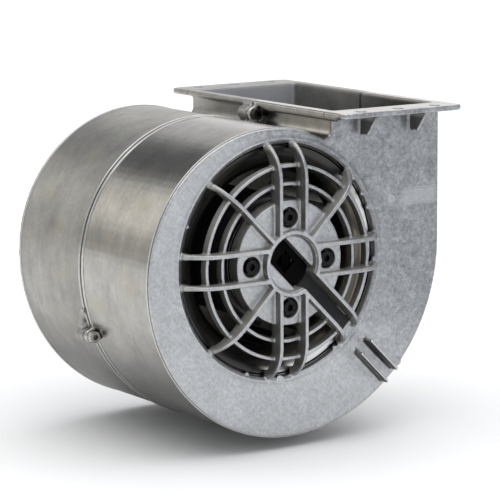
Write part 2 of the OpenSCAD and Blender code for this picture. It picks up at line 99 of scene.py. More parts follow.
def make_camera():
    data = bpy.data.cameras.new("camera")
    data.lens = CAMERA_LENS
    data.sensor_width = 36
    camera = bpy.data.objects.new("camera", data)
    turn = Matrix.Rotation(CAMERA_YAW, 4, "Z")
    tilt = Matrix.Rotation(math.radians(90) + CAMERA_PITCH, 4, "X")
    roll = Matrix.Rotation(CAMERA_ROLL, 4, "Z")
    camera.matrix_world = Matrix.Translation(fan_axis + CAMERA_OFFSET) @ turn @ tilt @ roll
    bpy.context.scene.collection.objects.link(camera)
    bpy.context.scene.camera = camera


# ---------- node trees ----------

class Shader:
    """One material's node tree. A value may be a number, a colour or another node's output.
    The texture coordinates are places in the model's frame."""

    def __init__(self, name):
        self.material = bpy.data.materials.new(name)
        self.material.use_nodes = True
        self.tree = self.material.node_tree
        self.bsdf = self.tree.nodes["Principled BSDF"]
        self.place = self.node("ShaderNodeTexCoord").outputs["Object"]

    def node(self, kind, inputs=None, **settings):
        made = self.tree.nodes.new(kind)
        for key, value in settings.items():
            setattr(made, key, value)
        for key, value in (inputs or {}).items():
            self.put(made.inputs[key], value)
        return made

    def put(self, socket, value):
        if isinstance(value, bpy.types.NodeSocket):
            self.tree.links.new(value, socket)
        elif socket.type == "RGBA" and len(value) == 3:
            socket.default_value = (*value, 1)
        else:
            socket.default_value = value

    def set(self, **values):
        """Fills inputs of the surface, with _ for each space in their names."""
        for key, value in values.items():
            self.put(self.bsdf.inputs[key.replace("_", " ")], value)

    # Numbers.

    def math(self, operation, a, b=0.0):
        return self.node("ShaderNodeMath", {0: a, 1: b}, operation=operation).outputs[0]

    def times(self, a, b):
        return self.math("MULTIPLY", a, b)

    def plus(self, a, b):
        return self.math("ADD", a, b)

    def highest(self, a, b):
        return self.math("MAXIMUM", a, b)

    def between(self, share, at_0, at_1):
        """at_0 where share is 0, and at_1 where it is 1."""
        return self.plus(self.times(share, at_1 - at_0), at_0)

    def step(self, value, low, high, to_low=0.0, to_high=1.0):
        """A smooth step of value from low to high, onto to_low to to_high."""
        ends = {"Value": value, "From Min": low, "From Max": high,
                "To Min": to_low, "To Max": to_high}
        return self.node("ShaderNodeMapRange", ends, interpolation_type="SMOOTHSTEP").outputs[0]

    def fade(self, value, low, high):
        """1 where value is under low, 0 where it is over high."""
        return self.step(value, low, high, 1.0, 0.0)

    def band(self, value, middle, half, soft):
        """1 where value is within half of middle, fading out over soft."""
        off = self.math("ABSOLUTE", self.plus(value, -middle))
        return self.fade(off, half, half + soft)

    # Colours.

    def mix(self, share, a, b, blend="MIX"):
        made = self.node("ShaderNodeMix", data_type="RGBA", blend_type=blend)
        self.put(made.inputs[0], share)
        self.put(made.inputs[6], a)
        self.put(made.inputs[7], b)
        return made.outputs[2]

    def shade(self, colour, value, depth):
        """colour, lighter and darker by depth as value goes round 0.5."""
        swing = self.times(self.times(self.plus(value, -0.5), 2.0), depth)
        factor = self.plus(swing, 1.0)
        grey = self.node("ShaderNodeCombineColor", {0: factor, 1: factor, 2: factor}).outputs[0]
        return self.mix(1.0, colour, grey, "MULTIPLY")

    def red(self, colour):
        """The red part of a colour, as a number."""
        return self.node("ShaderNodeSeparateColor", {0: colour}).outputs[0]

    # Textures.

    def noise(self, scale, detail=3.0, roughness=0.6, place=None):
        ends = {"Vector": place or self.place, "Scale": scale, "Detail": detail,
                "Roughness": roughness}
        return self.node("ShaderNodeTexNoise", ends).outputs[0]

    def cells(self, scale, output="Distance"):
        ends = {"Vector": self.place, "Scale": scale}
        return self.node("ShaderNodeTexVoronoi", ends).outputs[output]

    def vector(self, x, y, z=0.0):
        return self.node("ShaderNodeCombineXYZ", {0: x, 1: y, 2: z}).outputs[0]

    def bump(self, *layers):
        """Stacks (height, distance in metres) layers onto the shader's normal."""
        normal = None
        for height, distance in layers:
            ends = {"Height": height, "Distance": distance, "Strength": 1.0}
            if normal is not None:
                ends["Normal"] = normal
            normal = self.node("ShaderNodeBump", ends).outputs[0]
        self.put(self.bsdf.inputs["Normal"], normal)

    # Where a point of the surface is, and which way it faces.

    def parts(self, vector):
        return self.node("ShaderNodeSeparateXYZ", {0: vector}).outputs

    def dot(self, a, b):
        return self.node("ShaderNodeVectorMath", {0: a, 1: b},
                         operation="DOT_PRODUCT").outputs["Value"]

    def from_axis(self):
        return self.node("ShaderNodeVectorMath", {0: self.place, 1: -fan_axis},
                         operation="ADD").outputs[0]

    def around_axis(self):
        """(angle about the fan axis in radians, distance from it, place along it)."""
        x, along, z = self.parts(self.from_axis())
        angle = self.math("ARCTAN2", z, self.times(x, -1.0))
        return angle, self.length(x, z), along

    def length(self, x, z):
        return self.math("SQRT", self.plus(self.times(x, x), self.times(z, z)))

    def toward(self, way):
        """How far a point lies from the fan axis in the direction way, in metres."""
        return self.dot(self.from_axis(), way)

    def normal(self):
        return self.node("ShaderNodeNewGeometry").outputs["Normal"]

    def crevice(self, distance, closed=0.1, open_from=0.75, samples=6):
        """1 in corners and gaps, 0 in the open."""
        made = self.node("ShaderNodeAmbientOcclusion", {"Distance": distance}, samples=samples)
        return self.fade(made.outputs["AO"], closed, open_from)

    def worn(self, low, high):
        """1 along the convex edges of a dense mesh, 0 elsewhere."""
        point = self.node("ShaderNodeNewGeometry").outputs["Pointiness"]
        return self.step(point, low, high)

    def edge(self, radius, samples=4):
        """1 along sharp edges, 0 on flat and gently curved faces."""
        soft = self.node("ShaderNodeBevel", {"Radius": radius}, samples=samples).outputs[0]
        return self.fade(self.dot(soft, self.normal()), 0.8, 0.995)


# ---------- cast aluminium ----------

FACE_COOL = (0.418, 0.427, 0.440)
FACE_DULL_SHADE = (0.13, 0.14, 0.155)
SIDE_WARM = (0.405, 0.395, 0.37)
SIDE_STAIN = (0.42, 0.37, 0.27)
WEAR_HIGHLIGHT = (0.88, 0.88, 0.87)
PITTED = (0.16, 0.15, 0.13)
# dark seam and trim lines, and painted shade in corners
LINES_AND_SHADE = (0.07, 0.066, 0.058)
# the colour of painted shade
PAINTED_SHADE = (0.05, 0.05, 0.047)
UNLIT = (0.03, 0.03, 0.03)
PITCH = (0.004, 0.004, 0.004)
BLACK = (0.0, 0.0, 0.0)
# Places in the model's frame.
SHADED_BELOW_Z = (-199 * MM, -140 * MM)        # painted shade: the side walls darken between these heights
LIT_FOOT_Z = (-190 * MM, -130 * MM)     # painted light: the faces lighten a little between these
SHADED_BAND_Z = (-14 * MM, 6 * MM)          # middle and half height of a band of painted shade
SHADED_BAND_X = (-110 * MM, -100 * MM)      # it ends between these
GUSSET_Z = (-9 * MM, -6 * MM)           # what stands on the casing face gets painted shade on its sides up to here
TRIM_LINE_Y = (face_z - 1.9) * MM       # scribed line along the outer edge of each side wall
SHADED_Y = ((face_z - 9) * MM, (face_z - 3) * MM)
# Distances from the fan axis.
SHADED_R = 75 * MM                       # inside this radius, behind the inlets, all gets painted shade
HUB_BORE_R = 20 * MM
# Directions from the fan axis.
DUCT_WAY = Vector((0.8, 0.0, 0.6))      # the castings are darker this way: partly duller metal, partly painted shade


class CastShader(Shader):
    """Bare die-casting, painted coat by coat."""

    def __init__(self, name):
        super().__init__(name)
        angle, self.radius, self.along = self.around_axis()
        self.sideways, _, self.level = self.parts(self.place)
        self.off_seam = self.math("ABSOLUTE", self.along)
        across = self.math("ABSOLUTE", self.parts(self.normal())[1])
        # The side walls run along the fan axis, and the faces look along it.
        self.side = self.highest(self.fade(across, 0.35, 0.85),
                                 self.fade(self.off_seam, 3.5 * MM, 4.5 * MM))
        self.face = self.between(self.side, 1.0, 0.0)
        self.rear = self.times(self.side, self.step(self.along, 1 * MM, 5 * MM))
        self.clouds = self.noise(24, 3, 0.55)
        self.blotch = self.noise(75, 4, 0.6)
        self.mottle = self.noise(330, 4, 0.7)
        self.crystals = self.red(self.cells(620, "Color"))
        self.streaks = self.stretched_noise(angle, 2.2, self.along, 260, 0.0, 4, 0.62)
        self.smears = self.stretched_noise(angle, 5.0, self.along, 42, 4.0, 3, 0.6)
        cloudy = self.times(self.plus(self.clouds, -0.5), 0.08)
        # darker towards the duct: partly duller metal, partly painted shade
        self.dull_and_shaded = self.step(self.plus(self.toward(DUCT_WAY), cloudy), -0.01, 0.09)
        self.plates = self.plate_share()

    def stretched_noise(self, u, u_scale, v, v_scale, slice_at, detail, roughness):
        place = self.vector(self.times(u, u_scale), self.times(v, v_scale), slice_at)
        return self.noise(1.0, detail, roughness, place)

    def plate_share(self):
        """1 on the blank plate and the disc on the front face, 0 elsewhere."""
        middle = fan_point(*PLATE_MIDDLE, 0)
        bar = self.times(self.band(self.sideways, middle.x, (PLATE_HALF[0] + 0.5) * MM, MM),
                         self.band(self.level, middle.z, (PLATE_HALF[1] + 0.5) * MM, MM))
        middle = fan_point(*DISC_MIDDLE, 0)
        off = self.length(self.plus(self.sideways, -middle.x), self.plus(self.level, -middle.z))
        disc = self.fade(off, DISC_R * MM, (DISC_R + 1) * MM)
        front = self.fade(self.along, -(face_z - 1) * MM, -(face_z - 2) * MM)
        return self.times(self.highest(bar, disc), front)

    def coat(self, share, colour):
        self.colour = self.mix(share, self.colour, colour)

    def tone(self, texture, depth):
        self.colour = self.shade(self.colour, texture, depth)

    def bare_metal(self):
        """Frosty crystals, warmer on the side walls, and darker grey towards the duct: partly
        duller metal, partly painted shade.
        """
        self.colour = self.mix(self.side, FACE_COOL, SIDE_WARM)
        dull_shaded_face = self.times(self.dull_and_shaded, self.between(self.side, 1.0, 0.1))
        # painted shade, with duller metal, towards the duct
        self.coat(self.times(dull_shaded_face, 0.52), FACE_DULL_SHADE)
        self.tone(self.clouds, self.between(self.side, 0.12, 0.34))
        for texture, on_face, on_side, where_dull_shaded in ((self.blotch, 0.08, 0.26, 0.3),
                                                      (self.mottle, 0.17, 0.09, 0.5),
                                                      (self.crystals, 0.1, 0.04, 0.05)):
            self.tone(texture, self.plus(self.times(dull_shaded_face, where_dull_shaded),
                                         self.between(self.side, on_face, on_side)))

    def face_sheen(self):
        """Silky streaks across the faces, and painted light that lightens the faces a little
        towards their foot.
        """
        rising = self.plus(self.sideways, self.level)
        falling = self.plus(self.sideways, self.times(self.level, -1.0))
        silk = self.stretched_noise(falling, 40, rising, 240, 2.0, 4, 0.65)
        self.tone(silk, self.times(self.face, self.between(self.dull_and_shaded, 0.2, 0.1)))
        # painted light: the faces lighten a little towards their foot
        low = self.step(self.level, *LIT_FOOT_Z, 1.0, 0.5)
        self.tone(low, self.times(self.face, 0.12))

    def side_marks(self):
        """Drawn streaks and stains on the side walls, the rear half a little darker, and painted
        shade below and in a band across the front half.
        """
        drawn = self.mix(self.side, (0.5, 0.5, 0.5), self.mix(0.5, self.streaks, self.smears))
        self.tone(self.red(drawn), 0.3)
        stain = self.times(self.side, self.step(self.smears, 0.52, 0.7))
        self.coat(self.times(stain, 0.35), SIDE_STAIN)
        # painted shade: the side walls darken towards the bottom
        shaded_below = self.times(self.side, self.fade(self.level, *SHADED_BELOW_Z))
        self.coat(self.times(shaded_below, 0.55), UNLIT)
        self.coat(self.times(self.rear, 0.12), BLACK)
        # painted shade: a darker band across the front half's side wall
        shaded_band = self.times(self.band(self.level, *SHADED_BAND_Z, 8 * MM),
                             self.fade(self.sideways, *SHADED_BAND_X))
        shaded_band = self.times(shaded_band, self.plus(self.side, self.times(self.rear, -1.0)))
        self.coat(self.times(shaded_band, 0.24), BLACK)

    def pits_lines_and_shade(self):
        """Painted shade on the sides of what stands proud of the faces and in corners, pits, and
        the dark seam and trim lines.
        """
        # painted shade on the side walls of what stands proud of the faces
        proud_shade = self.times(self.step(self.off_seam, (face_z + 0.5) * MM, (face_z + 2) * MM),
                           self.step(self.radius, LIP_R * MM, (LIP_R + 4) * MM))
        proud_shade = self.times(self.times(proud_shade, self.side), self.fade(self.level, *GUSSET_Z))
        self.coat(self.times(proud_shade, 0.7), PAINTED_SHADE)
        pits = self.step(self.cells(260), 0.05, 0.16, 0.55, 1.0)
        self.coat(self.between(pits, 0.6, 0.0), PITTED)
        self.trim = self.times(self.side, self.band(self.off_seam, TRIM_LINE_Y, 0.3 * MM, 0.3 * MM))
        seam = self.times(self.side, self.band(self.along, 0.3 * MM, 0.7 * MM, 0.2 * MM))
        lines = self.highest(self.times(self.trim, 0.7), self.times(seam, 0.8))
        # painted shade in corners, over the dark seam and trim lines
        self.lines_and_shade = self.highest(self.times(self.crevice(5 * MM), 0.85), lines)
        self.coat(self.lines_and_shade, LINES_AND_SHADE)

    def painted_inlet_shade(self):
        """Painted shade behind the inlets, and painted black shade down the hub's bore."""
        behind = self.fade(self.off_seam, *SHADED_Y)
        inlet_shade = self.times(behind, self.fade(self.radius, SHADED_R, SHADED_R + 6 * MM))
        self.coat(self.times(inlet_shade, 0.85), PAINTED_SHADE)
        # painted shade: the hub's bore near black
        bore = self.times(behind, self.fade(self.radius, HUB_BORE_R, HUB_BORE_R + 5 * MM))
        self.coat(bore, PITCH)

    def edge_wear_and_highlight(self):
        """Cleaner plates, and edges lightened, less so on the side walls and plates: partly rubbed
        metal, partly painted highlight.
        """
        self.coat(self.times(self.plates, 0.6), FACE_COOL)
        # edges lightened: rubbed metal and painted highlight
        wear_and_highlight = self.times(self.worn(0.525, 0.575), self.between(self.side, 1.0, 0.45))
        self.wear_and_highlight = self.times(wear_and_highlight, self.between(self.plates, 1.0, 0.15))
        self.coat(self.times(self.wear_and_highlight, 0.7), WEAR_HIGHLIGHT)

    def flanks(self, metal, film):
        """Side walls with less metal in them and painted shade where they don't look up. Faces
        behind the casing face are pale, without the darker duct-side coat."""
        flank = self.times(self.side, self.between(self.wear_and_highlight, 1.0, 0.0))
        up = self.parts(self.normal())[2]
        # painted shade on side walls that don't look up
        shaded_flank = self.times(self.step(up, 0.0, 0.8, film, 0.0),
                            self.fade(self.radius, (RIM_R - 4) * MM, (RIM_R - 1) * MM))
        self.coat(self.times(flank, shaded_flank), PAINTED_SHADE)
        inner = self.times(self.fade(self.off_seam, (face_z - 2) * MM, (face_z - 1) * MM),
                           self.face)
        self.coat(self.times(inner, self.dull_and_shaded), FACE_COOL)
        self.set(Metallic=self.times(self.between(flank, 1.0, metal),
                                     self.between(inner, 1.0, 0.15)))

    def surface(self):
        """Roughness and grain, both finer on the side walls."""
        self.set(Base_Color=self.colour)
        rough = self.plus(self.times(self.mottle, self.between(self.side, 0.16, 0.03)),
                          self.between(self.side, 0.34, 0.235))
        for share, rougher in ((self.rear, 0.17), (self.lines_and_shade, 0.2), (self.wear_and_highlight, -0.08)):
            rough = self.plus(rough, self.times(share, rougher))
        self.set(Roughness=rough)
        relief = self.between(self.side, 1.0, 0.05)
        self.bump((self.times(self.blotch, relief), 0.5 * MM),
                  (self.times(self.mottle, relief), 0.16 * MM),
                  (self.times(self.crystals, relief), 0.012 * MM),
                  (self.trim, -0.3 * MM))


def cast_aluminium(name, flank_metal=1.0, flank_shade=0.0):
    s = CastShader(name)
    s.bare_metal()
    s.face_sheen()
    s.side_marks()
    s.pits_lines_and_shade()
    s.painted_inlet_shade()
    s.edge_wear_and_highlight()
    s.flanks(flank_metal, flank_shade)
    s.surface()
    return s.material


def grille_aluminium(name):
    """The same casting where it is ribbed, with painted shade down the ribs' flanks."""
    return cast_aluminium(name, flank_metal=0.35, flank_shade=0.72)


# ---------- other materials ----------

MOUTH_R = (RIM_R - 2.1) * MM            # where the painted shadow of the gap between inlet ring and casing lies
LIT_WAY = Vector((0.88, 0.0, -0.475))  # the inlet rings are lit this way, with painted shade on the other side
TIP_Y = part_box("motor_shaft")[0][1]     # front end of the shaft


def spun_aluminium(name):
    """Spun sheet: smooth, with fine rings round the fan axis. Painted shade darkens one side,
    the gap to the casing and the crevices, and a painted highlight lightens the outer edge on the
    other side.
    """
    s = Shader(name)
    radius, along = s.around_axis()[1:]
    rings = s.noise(1.0, 5, 0.7, s.vector(s.times(radius, 1900), s.times(along, 1900)))
    bands = s.noise(1.0, 2, 0.5, s.vector(s.times(radius, 130), s.times(along, 130)))
    film = s.noise(60, 4, 0.6)
    colour = s.shade((0.22, 0.2, 0.165), rings, 0.12)
    colour = s.shade(colour, bands, 0.2)
    # painted shade on one side of the ring, with a wobbly edge
    wobble = s.times(s.plus(film, -0.5), 0.05)
    lit_side = s.step(s.plus(s.toward(LIT_WAY), wobble), 0.012, 0.06)
    colour = s.mix(lit_side, (0.05, 0.049, 0.047), colour)
    # painted highlight round the outer edge on the lit side
    highlight_and_wear = s.times(lit_side, s.step(radius, 77 * MM, 79.5 * MM))
    colour = s.mix(highlight_and_wear, colour, (0.62, 0.63, 0.63))
    # painted shadow in the gap between inlet ring and casing
    gap_shadow = s.band(radius, MOUTH_R + 0.5 * MM, 0.5 * MM, 0.2 * MM)
    colour = s.mix(s.times(gap_shadow, 0.95), colour, (0.01, 0.01, 0.01))
    # painted shade in crevices
    colour = s.mix(s.times(s.crevice(6 * MM), 0.75), colour, (0.035, 0.033, 0.03))
    s.set(Base_Color=colour, Metallic=1.0, Roughness=s.plus(s.times(rings, 0.12), 0.26))
    s.bump((rings, 0.015 * MM), (film, 0.1 * MM))
    return s.material


def galvanised_steel(name):
    """Zinc-coated sheet: large soft crystals under a thin film of dust."""
    s = Shader(name)
    crystals = s.red(s.cells(330, "Color"))
    film = s.noise(90, 4, 0.65)
    fine = s.noise(900, 3, 0.6)
    colour = s.shade((0.24, 0.235, 0.22), crystals, 0.12)
    colour = s.shade(colour, film, 0.2)
    colour = s.shade(colour, fine, 0.1)
    colour = s.mix(s.times(s.step(film, 0.5, 0.72), 0.4), colour, (0.17, 0.15, 0.115))
    colour = s.mix(s.times(s.edge(0.5 * MM), 0.75), colour, (0.88, 0.87, 0.85))
    s.set(Base_Color=colour, Metallic=0.9, Roughness=s.plus(s.times(crystals, 0.15), 0.34))
    s.bump((film, 0.12 * MM), (fine, 0.02 * MM))
    return s.material


def bearing_steel(name):
    """Ground steel with a trace of oil, painted shade in crevices and painted black shade over
    the shaft's front end.
    """
    s = Shader(name)
    radius, along = s.around_axis()[1:]
    grind = s.noise(1.0, 3, 0.6, s.vector(s.times(radius, 2500), 0.0))
    film = s.noise(200, 3, 0.6)
    colour = s.shade((0.70, 0.70, 0.71), grind, 0.08)
    colour = s.shade(colour, film, 0.1)
    # painted shade in crevices
    colour = s.mix(s.times(s.crevice(12 * MM, 0.3, 0.95), 0.9), colour, (0.015, 0.014, 0.012))
    # painted black shade over the shaft's front end
    deep_shade = s.fade(along, TIP_Y, TIP_Y + 12 * MM)
    colour = s.mix(s.times(deep_shade, 0.97), colour, (0.004, 0.004, 0.004))
    s.set(Base_Color=colour, Metallic=1.0, Roughness=s.plus(s.times(film, 0.14), 0.14))
    s.bump((grind, 0.01 * MM))
    return s.material


def lamination_steel(name):
    """Edges of stacked sheets, one dark line every half millimetre."""
    s = Shader(name)
    along = s.around_axis()[2]
    wave = s.math("SINE", s.times(along, 2 * math.pi / (0.5 * MM)))
    sheets = s.step(wave, -0.9, 0.2)
    film = s.noise(140, 4, 0.6)
    colour = s.mix(sheets, (0.10, 0.10, 0.105), (0.34, 0.34, 0.35))
    colour = s.shade(colour, film, 0.2)
    colour = s.mix(s.times(s.step(film, 0.55, 0.75), 0.35), colour, (0.22, 0.11, 0.05))
    s.set(Base_Color=colour, Metallic=0.9, Roughness=s.plus(s.times(film, 0.2), 0.38))
    s.bump((sheets, 0.03 * MM))
    return s.material


def copper_wire(name):
    """Windings: strands laid round the axis under amber varnish."""
    s = Shader(name)
    radius, along = s.around_axis()[1:]
    turns = s.noise(1.0, 2, 0.5, s.vector(s.times(radius, 1500), s.times(along, 1500)))
    film = s.noise(160, 3, 0.6)
    colour = s.mix(turns, (0.30, 0.10, 0.035), (0.72, 0.33, 0.15))
    colour = s.shade(colour, film, 0.25)
    s.set(Base_Color=colour, Metallic=0.85, Roughness=s.plus(s.times(film, 0.2), 0.28))
    s.bump((turns, 0.25 * MM))
    return s.material


def zinc_steel(name):
    """Plated screws: fine grey with a trace of yellow, with painted shade in the socket. Those
    towards the duct are painted black as shade."""
    s = Shader(name)
    film = s.noise(300, 4, 0.65)
    colour = s.shade((0.50, 0.49, 0.45), film, 0.25)
    # painted shade in the socket
    colour = s.mix(s.times(s.crevice(3 * MM, 0.2, 0.9), 0.9), colour, (0.02, 0.02, 0.018))
    # painted black shade on the screws towards the duct
    deep_shade = s.step(s.toward(DUCT_WAY), 0.0, 0.03)
    colour = s.mix(s.times(deep_shade, 0.93), colour, (0.012, 0.012, 0.01))
    s.set(Base_Color=colour, Metallic=1.0, Roughness=s.plus(s.times(film, 0.2), 0.28))
    s.bump((film, 0.05 * MM))
    return s.material


def black_paint(name):
    """Baked enamel with a little dust."""
    s = Shader(name)
    film = s.noise(110, 4, 0.65)
    peel = s.noise(700, 2, 0.5)
    colour = s.shade((0.014, 0.014, 0.015), film, 0.5)
    colour = s.mix(s.times(s.step(film, 0.55, 0.8), 0.2), colour, (0.06, 0.055, 0.048))
    s.set(Base_Color=colour, Roughness=s.plus(s.times(film, 0.2), 0.4), Specular_IOR_Level=0.3)
    s.bump((peel, 0.03 * MM))
    return s.material


def black_steel(name):
    """Blackened screws, rubbed bright along their edges."""
    s = Shader(name)
    film = s.noise(420, 4, 0.65)
    fine = s.noise(1500, 2, 0.6)
    colour = s.shade((0.010, 0.010, 0.011), film, 0.5)
    highlight_and_wear = s.times(s.edge(0.35 * MM), s.step(s.around_axis()[1], HUB_BORE_R, HUB_BORE_R + MM))
    colour = s.mix(s.times(highlight_and_wear, 0.4), colour, (0.2, 0.195, 0.18))
    s.set(Base_Color=colour, Metallic=0.8, Roughness=s.plus(s.times(film, 0.22), 0.28))
    s.bump((film, 0.06 * MM), (fine, 0.02 * MM))
    return s.material


def black_plastic(name):
    """Moulded plastic with a fine spark-eroded grain, dusty outside the hub, and painted near
    black with little sheen inside the hub's bore as shade.
    """
    s = Shader(name)
    grain = s.noise(2200, 2, 0.6)
    film = s.noise(120, 4, 0.6)
    # dust outside the hub's bore; painted shade inside it
    outside_bore = s.step(s.around_axis()[1], HUB_BORE_R, HUB_BORE_R + 3 * MM)
    colour = s.mix(outside_bore, (0.0015, 0.0015, 0.0015), (0.02, 0.021, 0.022))
    colour = s.shade(colour, grain, 0.4)
    colour = s.mix(s.times(s.step(film, 0.5, 0.8), s.times(outside_bore, 0.4)), colour, (0.06, 0.06, 0.06))
    s.set(Base_Color=colour, Roughness=s.plus(s.times(film, 0.2), 0.55))
    s.set(Specular_IOR_Level=s.between(outside_bore, 0.05, 0.3))
    s.bump((grain, 0.03 * MM))
    return s.material


MATERIALS = {
    "cast_aluminium": cast_aluminium,
    "spun_aluminium": spun_aluminium,
    "galvanised_steel": galvanised_steel,
    "bearing_steel": bearing_steel,
    "lamination_steel": lamination_steel,
    "copper_wire": copper_wire,
    "zinc_steel": zinc_steel,
    "black_steel": black_steel,
    "black_paint": black_paint,
    "black_plastic": black_plastic,
}


def dress_nodes():
    """Gives every CAD node the material of its slot in the record."""
    made = {slot: build(slot) for slot, build in MATERIALS.items()}
    for part in frame["record"]["subparts"]:
        mesh = nodes[part["node"]].data
        mesh.materials.clear()
        mesh.materials.append(made[part["material_slot"]])
    return made


# ---------- metal added to the castings ----------
# Sides are 1 for the front half and -1 for the rear half.

RIB_RISE = 18                           # a rib's flat top above the casing face
BEND_X = 60                             # where it starts to bend down to the rim
BEND_R = 26
FLARE_FROM = 70                         # and where it starts to widen
FLARE_STEPS = 12
FLARE_HALF = 1.4                        # half width where the flare starts
FLARE_SPREAD = 1.1                      # and how much wider it is at the rim
FLARE_DEPTH = 3.2                       # half height
# lumps over a rib's foot: distance out from the rim, half width, half height
ROOT_LUMPS = ((-2, 2.2, 4.0), (0, 2.7, 2.8), (2, 2.8, 1.8), (3.6, 2.3, 1.2))
LEFT_LUG = Vector((-104.8, -57.2))
WEB_TOP = Vector((-108, -38))
WEB_STEPS = 16


def bridge(bm, rows, closed=False):
    """Faces between each row of vertices and the next. Every row is a loop. Closed also joins
    the last row to the first."""
    faces = []
    followers = rows[1:] + rows[:1] if closed else rows[1:]
    for row, after in zip(rows, followers):
        for k in range(len(row)):
            beside = (k + 1) % len(row)
            faces.append(bm.faces.new((row[k], row[beside], after[beside], after[k])))
    return faces


def add_lump(bm, middle, size):
    """A round lump of metal, its half sizes given along the model's axes in mm."""
    made = bmesh.ops.create_icosphere(bm, subdivisions=2, radius=MM)
    for vert in made["verts"]:
        vert.co = middle + Vector([a * b for a, b in zip(vert.co, size)])


def add_turned(bm, profile, side, steps=180):
    """A ring round the fan axis with a closed profile of (radius, height) points in mm."""
    rows = []
    for step in range(steps):
        a = 2 * math.pi * step / steps
        rows.append([bm.verts.new(fan_point(r * math.cos(a), r * math.sin(a), side * z))
                     for r, z in profile])
    bridge(bm, rows, closed=True)


def add_rim(bm, side):
    """The inner edge of the opening with its lip, so that the ribs grow out of it."""
    top = face_z + 0.15
    lip_top = face_z + 1.1
    add_turned(bm, [(RIM_R, face_z - WALL_T), (LIP_R, face_z - WALL_T), (LIP_R, lip_top),
                    (LIP_R - 1.3, lip_top), (LIP_R - 1.7, top), (RIM_R, top)], side)


def add_rib_roots(bm, side, roots):
    """Spreads the foot of each rib over the rim, and flares the rib towards it. A root is
    (degrees, sideways shift in mm)."""
    for degrees, shift in roots:
        turn = Matrix.Rotation(math.radians(degrees), 2)
        out = math.sqrt((RIM_R - 1.5) ** 2 - shift ** 2)
        for reach, half, height in ROOT_LUMPS:
            x, y = turn @ Vector((out + reach, shift))
            add_lump(bm, fan_point(x, y, side * (face_z - 0.4)), (half, height, half))
        for step in range(FLARE_STEPS + 1):
            share = step / FLARE_STEPS
            reach = FLARE_FROM + (RIM_R - 2 - FLARE_FROM) * share
            top = face_z + RIB_RISE - BEND_R + math.sqrt(BEND_R ** 2 - (reach - BEND_X) ** 2)
            half = FLARE_HALF + FLARE_SPREAD * share
            x, y = turn @ Vector((reach, shift))
            add_lump(bm, fan_point(x, y, side * (top - FLARE_DEPTH)), (half, FLARE_DEPTH, half))


def add_lug_web(bm):
    """A web that runs from the rear end of the left lug up to the seam, thinner as it goes."""
    for step in range(WEB_STEPS):
        share = step / (WEB_STEPS - 1)
        half = 5 - 3 * share
        depth = 10.5 - 8 * share
        add_lump(bm, fan_point(*LEFT_LUG.lerp(WEB_TOP, share), -depth), (half, 1.8, half))


def add_flash(bm, side, degrees_list):
    """Small nibs of flash left on the opening's inner edge."""
    for degrees in degrees_list:
        a = math.radians(degrees)
        middle = fan_point((RIM_R - 0.4) * math.cos(a), (RIM_R - 0.4) * math.sin(a),
                           side * (face_z - 1.2))
        add_lump(bm, middle, (1.8, 1.7, 1.8))


# ---------- rails along the scroll and plates on its face ----------

OUTLINE_FROM = 72                       # degrees about the fan axis, from the valley
OUTLINE_TO = 392                        # round to the duct's outer wall
OUTLINE_STEPS = 640
OUTLINE_START = 0.2                     # metres from the fan axis, outside the scroll
OUTLINE_DEPTH = 45                      # clear of the lugs and the gussets
BEAD_REACH = 5.5                        # the CAD's seam bead: depth each way, height
BEAD_TOP = 1.7
RAIL_RAMP = 8                           # outline steps over which a rail rises at its ends


def wall_outline(source, depth):
    """Points round the outside of the scroll at one depth, in the fan frame's x and y in mm."""
    solid = bmesh.new()
    solid.from_mesh(nodes[source].data)
    tree = BVHTree.FromBMesh(solid)
    solid.free()
    points = []
    for step in range(OUTLINE_STEPS + 1):
        a = math.radians(OUTLINE_FROM + (OUTLINE_TO - OUTLINE_FROM) * step / OUTLINE_STEPS)
        way = Vector((math.cos(a), 0, math.sin(a)))
        hit = tree.ray_cast(fan_point(0, 0, depth) + way * OUTLINE_START, -way)[0]
        points.append(fan_xy(hit))
    return points


def fan_xy(point):
    """The fan frame's x and y of a point in the model's frame, in mm."""
    return Vector((point.x - fan_axis.x, point.z - fan_axis.z)) / MM


def flatten_bead(bm, points):
    """Sinks the CAD's seam bead into the wall, to make room for the rails."""
    for vert in bm.verts:
        place = fan_xy(vert.co)
        degrees = math.degrees(math.atan2(place.y, place.x)) % 360
        if degrees < OUTLINE_FROM:
            degrees += 360
        if abs(vert.co.y) > BEAD_REACH * MM or degrees > OUTLINE_TO:
            continue
        spot = (degrees - OUTLINE_FROM) / (OUTLINE_TO - OUTLINE_FROM) * OUTLINE_STEPS
        near = min(int(spot), OUTLINE_STEPS - 1)
        wall = points[near].lerp(points[near + 1], spot - near).length
        if wall < place.length < wall + BEAD_TOP:
            vert.co.x = fan_axis.x + place.x * wall / place.length * MM
            vert.co.z = fan_axis.z + place.y * wall / place.length * MM


def flatten_pad(bm, low, high):
    """Sinks what stands on the casing face between two corners, to make room for plates."""
    for vert in bm.verts:
        x, y = fan_xy(vert.co)
        if low[0] < x < high[0] and low[1] < y < high[1] and vert.co.y < -(face_z - 0.5) * MM:
            vert.co.y = -face_z * MM


def rail_profile(inner, outer, height):
    """A rounded rail between two depths, with its foot in the wall."""
    foot = -0.8
    shoulder = 0.45 * height
    return [(inner, foot), (inner, height - shoulder), (inner + shoulder, height),
            (outer - shoulder, height), (outer, height - shoulder), (outer, foot)]


